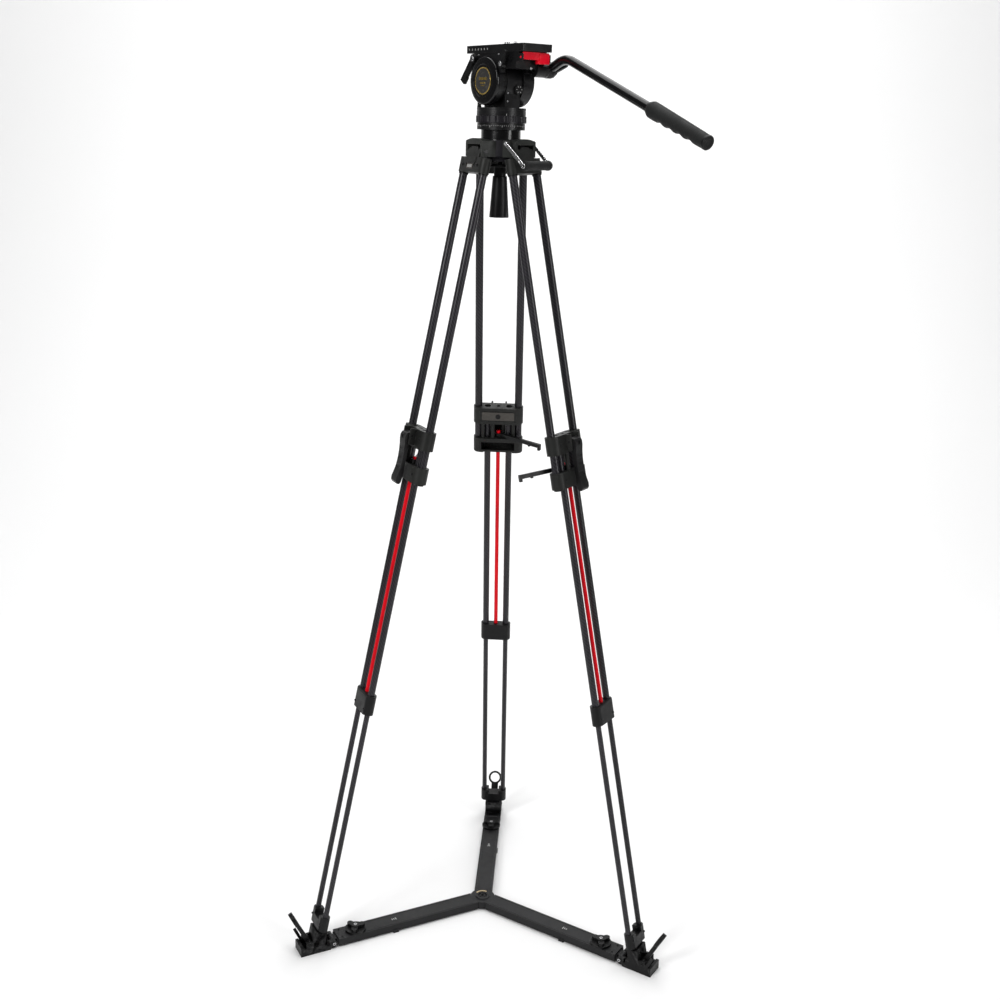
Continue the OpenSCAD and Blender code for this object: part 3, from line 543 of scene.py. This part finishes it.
def leg_details(k):
    leg, mid, low = f"leg_{k}", f"mid_{k}", f"low_{k}"
    for side, name in ((1, "a"), (-1, "b")):
        upper, inner = side * UPPER_HALF, side * MID_HALF
        carbon_sleeve(f"upper_weave_{k}{name}", k, upper, YOKE_END + 0.2, CLAMP_TOP - 0.2, UPPER_D, leg)
        carbon_sleeve(f"upper_weave_low_{k}{name}", k, upper, CLAMP_TOP + 35.2, CLAMP_LOW - 0.2,
                      UPPER_D, leg)
        carbon_sleeve(f"mid_weave_{k}{name}", k, inner, MID_TOP + 1, COLLAR_TOP - 0.2, MID_D, mid)
        carbon_sleeve(f"low_weave_{k}{name}", k, inner, LOWER_TOP + 1, FOOT_TOP - 0.2, LOWER_D, low)
        # pinch screws of the castings, and end rings where the tubes leave them
        for where, x, y, z, r, body in (("yoke_screw", 10.4, 30, -25, 2.6, leg),
                                        ("clamp_screw", 14.8, 33, -CLAMP_TOP - 17, 2.6, leg),
                                        ("clamp_low_screw", 14.8, 33, -CLAMP_LOW - 15, 2.2, leg),
                                        ("collar_screw", 10.8, 22, -COLLAR_TOP - 28, 2.0, mid),
                                        ("foot_screw", 9.8, 22, -FOOT_TOP - 15, 2.0, low)):
            screw(f"{where}_{k}{name}", at(LEG[k], x, side * y, z, ("Y", 90)), r, body, DARK)
        for where, z, r in (("yoke", -YOKE_END - 1.6, 8.9), ("clamp", -CLAMP_LOW - 31 - 1.2, 8.6)):
            ring = lathe([(7.6, -1.4), (r, -1.4), (r, 1.6), (7.6, 1.6)], 36, loop=True)
            piece(f"{where}_ring_{k}{name}", ring, at(LEG[k], 0, upper, z), leg, "black_plastic",
                  0.4)
    # plain plates in the yoke and on the clamp
    plate = at(LEG[k], 10, 0, -27, [("Y", 90), ("Z", 90)])
    piece(f"yoke_label_{k}", prism(rounded(25, 9.2, 1.2), 0, 0.7), plate, leg, "label_brown", 0.15)
    for i in range(5):
        bar = prism(rounded(2.2, 5.0, 0.4, 2), 0, 0.3)
        along = Matrix.Translation(((3.7 * i - 7.4) * MM, 0, 0.65 * MM))
        piece(f"yoke_bar_{k}{i}", bar, plate @ along, leg, "print_and_slot_light_white")
    clamp_plate = at(LEG[k], -14.6, 0, -CLAMP_TOP - 17.5, [("Y", -90), ("Z", 90)])
    piece(f"clamp_label_{k}", prism(rounded(66, 18, 2.5), 0, 1.2), clamp_plate, leg, "label_brown",
          0.3)
    piece(f"clamp_emblem_{k}", lathe([(5.2, 0), (5.2, 0.8), (4.4, 0.8), (4.4, 0.4)], 32),
          at(LEG[k], -15.7, 0, -CLAMP_TOP - 17.5, ("Y", -90)), leg, "black_plastic", 0.1)


def foot_details(k):
    for side, name in ((1, "a"), (-1, "b")):
        turn = ("X", -90 if side > 0 else 90)
        screw(f"tray_pin_{k}{name}", at(ARM[k], 342, side * 19.2, 11, turn), 3.4, f"arm_{k}", proud=1.0)
        screw(f"ring_pin_{k}{name}", at(ARM[k], 392, side * 19.2, 22, turn), 2.8, f"tray_{k}", DARK,
              proud=0.9)
    sole = block((352, -17, -0.01), (408, 17, 0.6))
    piece(f"tray_sole_{k}", sole, at(ARM[k], 0, 0, 0.02), f"tray_{k}", "rubber", 0.2)


def spreader_details(k):
    screw(f"knob_screw_{k}", at(ARM[k], 290, 0, 31.1), 3.4, f"knob_{k}", proud=0.6)
    for i, length in enumerate((7, 4.5, 4.5)):
        mark = prism(rounded(1.3, length, 0.3, 2), 0, 0.3)
        piece(f"arm_mark_{k}{i}", mark, at(ARM[k], 201 + 4 * i, 0, 18.95), "spreader", "mark_white")
    for side, name in ((1, "a"), (-1, "b")):
        rib = block((30, side * 15 - 0.8, 18.6), (276, side * 15 + 0.8, 19.5))
        piece(f"arm_rib_{k}{name}", rib, ARM[k], "spreader", "spreader", 0.25)
        screw(f"sleeve_screw_{k}{name}", at(ARM[k], 322, side * 12.5, 18.7), 2.2, "spreader", DARK)


for k in LEGS:
    leg_details(k)
    foot_details(k)
    spreader_details(k)



def arc_band(inner, outer, start, end, height, steps=24):
    """Outline of a flat band bent round the origin, between two angles in degrees."""
    angles = [math.radians(start + (end - start) * i / steps) for i in range(steps + 1)]
    outline = [(outer * math.cos(a), outer * math.sin(a)) for a in angles]
    outline += [(inner * math.cos(a), inner * math.sin(a)) for a in reversed(angles)]
    return prism(outline, 0, height)


piece("hub_washer", arc_band(13.0, 16.2, 55, 150, 0.9), at(Matrix(), 0, 0, 20.9), "spreader",
      "brass_washer", 0.2)
screw("hub_screw", at(ARM[1], 0, 0, 18), 7, "spreader", DARK, proud=2.4)


# ---------------------------------------------------------------- head

BADGE_FACE = -42.6
BAR_RISE, BAR_DROP, BAR_BEND, BAR_SIDE = 23.6, 21, 50, 47
BASE_TOP = 1639
PLATFORM, PLATE_TOP = 1732, 1745
TILT = TILT_Z / MM


def cap_badge():
    """Gold ring round a dark flecked disc on the round cap."""
    face = at(HEAD, 0, BADGE_FACE, TILT, ("X", 90))
    ring = lathe([(21.4, -0.4), (23.2, -0.4), (23.2, 0.7), (22.3, 1.0), (21.4, 0.7)], 96, loop=True)
    piece("cap_ring", ring, face, "tilt", "gold", 0.15)
    disc = lathe([(21.4, -0.4), (21.4, 0.3), (20.6, 0.6), (0.5, 0.75)], 96)
    piece("cap_disc", disc, face, "tilt", "speckled_disc")
    for i, (width, height, up) in enumerate(((24, 4.4, 3.6), (15, 2.6, -3.6), (11, 1.5, -8.0))):
        bar = prism(rounded(width, height, 0.5, 2), 0.55, 0.95)
        piece(f"cap_bar_{i}", bar, face @ Matrix.Translation((0, up * MM, 0)), "tilt", "gold", 0.08)


def head_screws():
    left, back = ("X", 90), ("Y", 90)
    spots = {
        "platform_a": ((-30, -31.2, 1727), left, 2.8, "tilt"),
        "platform_b": ((30, -31.2, 1727), left, 2.8, "tilt"),
        "block_a": ((80.2, -24, 1721), back, 2.2, "tilt"), "block_b": ((80.2, 2, 1705), back, 2.4, "tilt"),
        "upright_a": ((32.2, -11, 1664), back, 1.8, "pan"),
        "upright_b": ((32.2, -11, 1650), back, 1.8, "pan"),
        "tilt_lock": ((47, -41, 1712), left, 4.2, "tilt_lock"),
        "plate_lock": ((-33, -43, 1722), left, 4.4, "plate_lock"),
    }
    for name, (place, turn, r, body) in spots.items():
        screw(f"screw_{name}", at(HEAD, *place, turn), r, body)


def scale_marks():
    """White lines of the graduated ring, and a short white index on the base that is also a painted
    highlight.
    """
    for i in range(72):
        length = 3.4 if i % 6 == 0 else 1.2
        mark = block((43.3, -0.3, 1608.6 - length), (43.62, 0.3, 1608.6))
        turn = Matrix.Rotation(math.radians(5 * i + 2.5), 4, "Z")
        piece(f"scale_mark_{i}", mark, turn, "ball", "mark_white")
    # short white index mark that also stands in for a painted highlight spot on the base
    index = block((44.3, -0.4, 1625.6), (44.75, 0.4, 1628.4))
    piece("base_index_and_highlight", index, at(HEAD, 0, 0, 0, ("Z", -25)), "pan", "mark_white")
    for i in range(6):
        mark = prism(rounded(0.8, 2.4, 0.2, 2), 0, 0.25)
        face = at(HEAD, 40.45, 8, 1670.5, [("Y", 90), ("Z", 60 * i)])
        piece(f"knob_mark_{i}", mark, face @ Matrix.Translation((0, 5.4 * MM, 0)), "counterbalance",
              "mark_white")


def level_vial():
    """Ring round the level and the target circle on its dome."""
    place = at(HEAD, -36.8, -12, BASE_TOP)
    ring = lathe([(5.4, 0), (6.6, 0), (6.6, 1.2), (5.4, 1.2)], 40, loop=True)
    piece("level_ring", ring, place, "pan", "black_anodised", 0.2)
    mark = lathe([(1.9, 0.5), (2.2, 0.5), (2.2, 0.8), (1.9, 0.8)], 32, loop=True)
    piece("level_mark", mark, place, "pan", "black_plastic")


def plate_details():
    """Rubber pads and the painted light in the side slots of the camera plate."""
    for side, name in ((1, "a"), (-1, "b")):
        pad = prism(rounded(150, 15, 1.5), 0, 0.45)
        piece(f"plate_pad_{name}", pad, at(HEAD, 17, side * 20, PLATE_TOP), "plate", "rubber", 0.1)
        for i in range(7):
            # painted light: light grey patches standing in for light showing in the slots on the plate's
            # side
            painted_slot_light = prism(rounded(5.2, 3.6, 1.2, 3), 0, 0.5)
            place = at(HEAD, -67 + 5 + 2.75 + 9 * i, side * 29.3, PLATFORM + 6.5, ("X", 90))
            piece(f"plate_slit_{name}{i}", painted_slot_light, place, "plate", "print_and_slot_light_white", 0.05)


def clamp_knurl():
    """Knurled barrel on the bar's eye."""
    teeth, depth = 40, 0.022
    mesh = bmesh.new()
    rings = []
    for r, z in ((12.6, -6.0), (13.5, -5.4), (13.5, 5.4), (12.6, 6.0)):
        rings.append(ring_of(mesh, r, z, teeth * 4,
                             lambda a: 1 + depth * (1 if math.sin(teeth * a) > 0 else -1)))
    for low, high in zip(rings, rings[1:]):
        bridge(mesh, low, high)
    mesh.faces.new(rings[0])
    mesh.faces.new(rings[-1])
    piece("bar_knurl", mesh, at(HEAD, 73, 46.6, 1704, ("X", 90)), "bar", "black_anodised",
          0.1)


def grip_sleeve():
    """Rubber grip with finger grooves and fine ribs along the bar, with a cap at its end."""
    rise, drop, radius = math.radians(BAR_RISE), BAR_DROP, BAR_BEND
    bend = (100 + radius * math.sin(rise), BAR_SIDE, 1704 + 27 * math.tan(rise) - radius * math.cos(rise))
    start = at(HEAD, *bend, ("Y", drop)) @ Matrix.Translation((0, 0, radius * MM))
    axis = start @ Matrix.Rotation(math.radians(90), 4, "Y")
    count, first, last, stations = 40, 216.0, 356.0, 140
    mesh = bmesh.new()
    rings = []
    for i in range(stations + 1):
        z = first + (last - first) * i / stations
        base = 14.3 - 2.4 * (z - first) / (last - first)
        if z < first + 6:
            base -= 2.2 * (1 - (z - first) / 6) ** 2
        wave = 0.5 - 0.5 * math.cos(2 * math.pi * (z - first - 22) / 24)
        hollow = 2.6 * wave if first + 22 < z < first + 118 else 0.0
        rib = 0.16 if (i % 4 < 2 and first + 14 < z < last - 14) else 0.0

        def shape(angle, base=base, hollow=hollow, rib=rib):
            under = max(0.0, math.cos(angle)) ** 1.5
            return 1 + (rib - hollow * under) / base

        rings.append(ring_of(mesh, base, z, count, shape))
    for a, b in zip(rings, rings[1:]):
        bridge(mesh, a, b)
    mesh.faces.new(rings[0])
    mesh.faces.new(rings[-1])
    obj = piece("grip_sleeve", mesh, axis, "bar", "rubber")
    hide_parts("bar_grip")
    end = lathe([(11.6, 353), (12.3, 354.5), (12.2, 357.5), (11.2, 359), (6.5, 359), (6.2, 358),
                 (0.5, 358)], 40)
    piece("grip_cap", end, axis, "bar", "black_plastic", 0.4)
    collar = lathe([(8.3, 212), (10.4, 212), (12.0, 216.5), (8.3, 216.5)], 40, loop=True)
    piece("grip_collar", collar, axis, "bar", "black_plastic", 0.4)


def carry_details():
    """End rivets and ribs of the carry handle."""
    for side, name in ((1, "a"), (-1, "b")):
        screw(f"carry_rivet_{name}", at(ARM[3], 40.3, side * 46.2, 1577.2, ("X", -90 * side)), 2.8,
              "carry_handle", proud=0.9)
    for i in range(9):
        y = -28 + 7 * i
        band = lathe([(7.8, -1.1), (8.35, -0.7), (8.35, 0.7), (7.8, 1.1)], 32, loop=True)
        piece(f"carry_rib_{i}", band, at(ARM[3], 78.3, y, 1540.7, ("X", 90)), "carry_handle", "rubber")


cap_badge()
head_screws()
scale_marks()
level_vial()
plate_details()
clamp_knurl()
grip_sleeve()
carry_details()


# ---------------------------------------------------------------- studio

def sweep_floor():
    """Pale floor that curves up behind the object."""
    mesh = bmesh.new()
    radius, back, near, width, top = 2.6, 4.2, -7.0, 14.0, 8.0
    path = [(near, 0.0), (back - radius, 0.0)]
    path += [(back - radius + radius * math.sin(a), radius - radius * math.cos(a))
             for a in (math.radians(90 * i / 16) for i in range(1, 17))]
    path.append((back, top))
    rows = [[mesh.verts.new((x, y, z)) for x in (-width / 2, width / 2)] for y, z in path]
    for low, high in zip(rows, rows[1:]):
        mesh.faces.new((low[0], low[1], high[1], high[0]))
    data = bpy.data.meshes.new("studio_floor")
    mesh.to_mesh(data)
    mesh.free()
    for polygon in data.polygons:
        polygon.use_smooth = True
    obj = bpy.data.objects.new("studio_floor", data)
    bpy.context.scene.collection.objects.link(obj)
    t = Tree("studio_floor")
    t.set("Base Color", t.mix(t.noise(0.6, 2), (0.86, 0.86, 0.86), (0.9, 0.9, 0.9)))
    t.set("Roughness", 0.9)
    t.shader.inputs["Specular IOR Level"].default_value = 0.1
    data.materials.append(t.material)


def soft_light(name, place, target, size, power):
    data = bpy.data.lights.new(name, "AREA")
    data.shape = "RECTANGLE"
    data.size, data.size_y = size
    data.energy = power
    obj = bpy.data.objects.new(name, data)
    bpy.context.scene.collection.objects.link(obj)
    obj.location = place
    obj.rotation_euler = (Vector(target) - Vector(place)).to_track_quat("-Z", "Y").to_euler()


def studio():
    world = bpy.data.worlds.new("studio")
    world.use_nodes = True
    world.node_tree.nodes["Background"].inputs["Color"].default_value = (1, 1, 1, 1)
    world.node_tree.nodes["Background"].inputs["Strength"].default_value = 0.12
    bpy.context.scene.world = world
    bpy.context.scene.view_settings.view_transform = "Standard"
    sweep_floor()
    soft_light("top_softbox", (0.3, 0.6, 4.6), (0, 0.2, 0.8), (4.5, 4.5), 185)
    soft_light("key_softbox", (-2.6, -3.2, 2.9), (0, 0, 1.0), (1.1, 1.9), 112)
    soft_light("fill_softbox", (3.2, -2.4, 1.8), (0, 0, 0.9), (0.9, 2.0), 50)
    soft_light("backdrop_softbox", (0, 1.4, 3.2), (0, 4.2, 1.8), (5.5, 1.2), 42)


def camera():
    data = bpy.data.cameras.new("camera")
    data.sensor_width = 36
    data.lens = 46.184
    obj = bpy.data.objects.new("camera", data)
    bpy.context.scene.collection.objects.link(obj)
    yaw, pitch, roll = 0.00906, 0.27819, 0.02583
    look = (Matrix.Rotation(-yaw, 4, "Z") @ Matrix.Rotation(math.pi / 2 - pitch, 4, "X")
            @ Matrix.Rotation(roll, 4, "Z"))
    obj.matrix_world = Matrix.Translation((-0.00637, -2.41842, 1.59477)) @ look
    bpy.context.scene.camera = obj


studio()
camera()
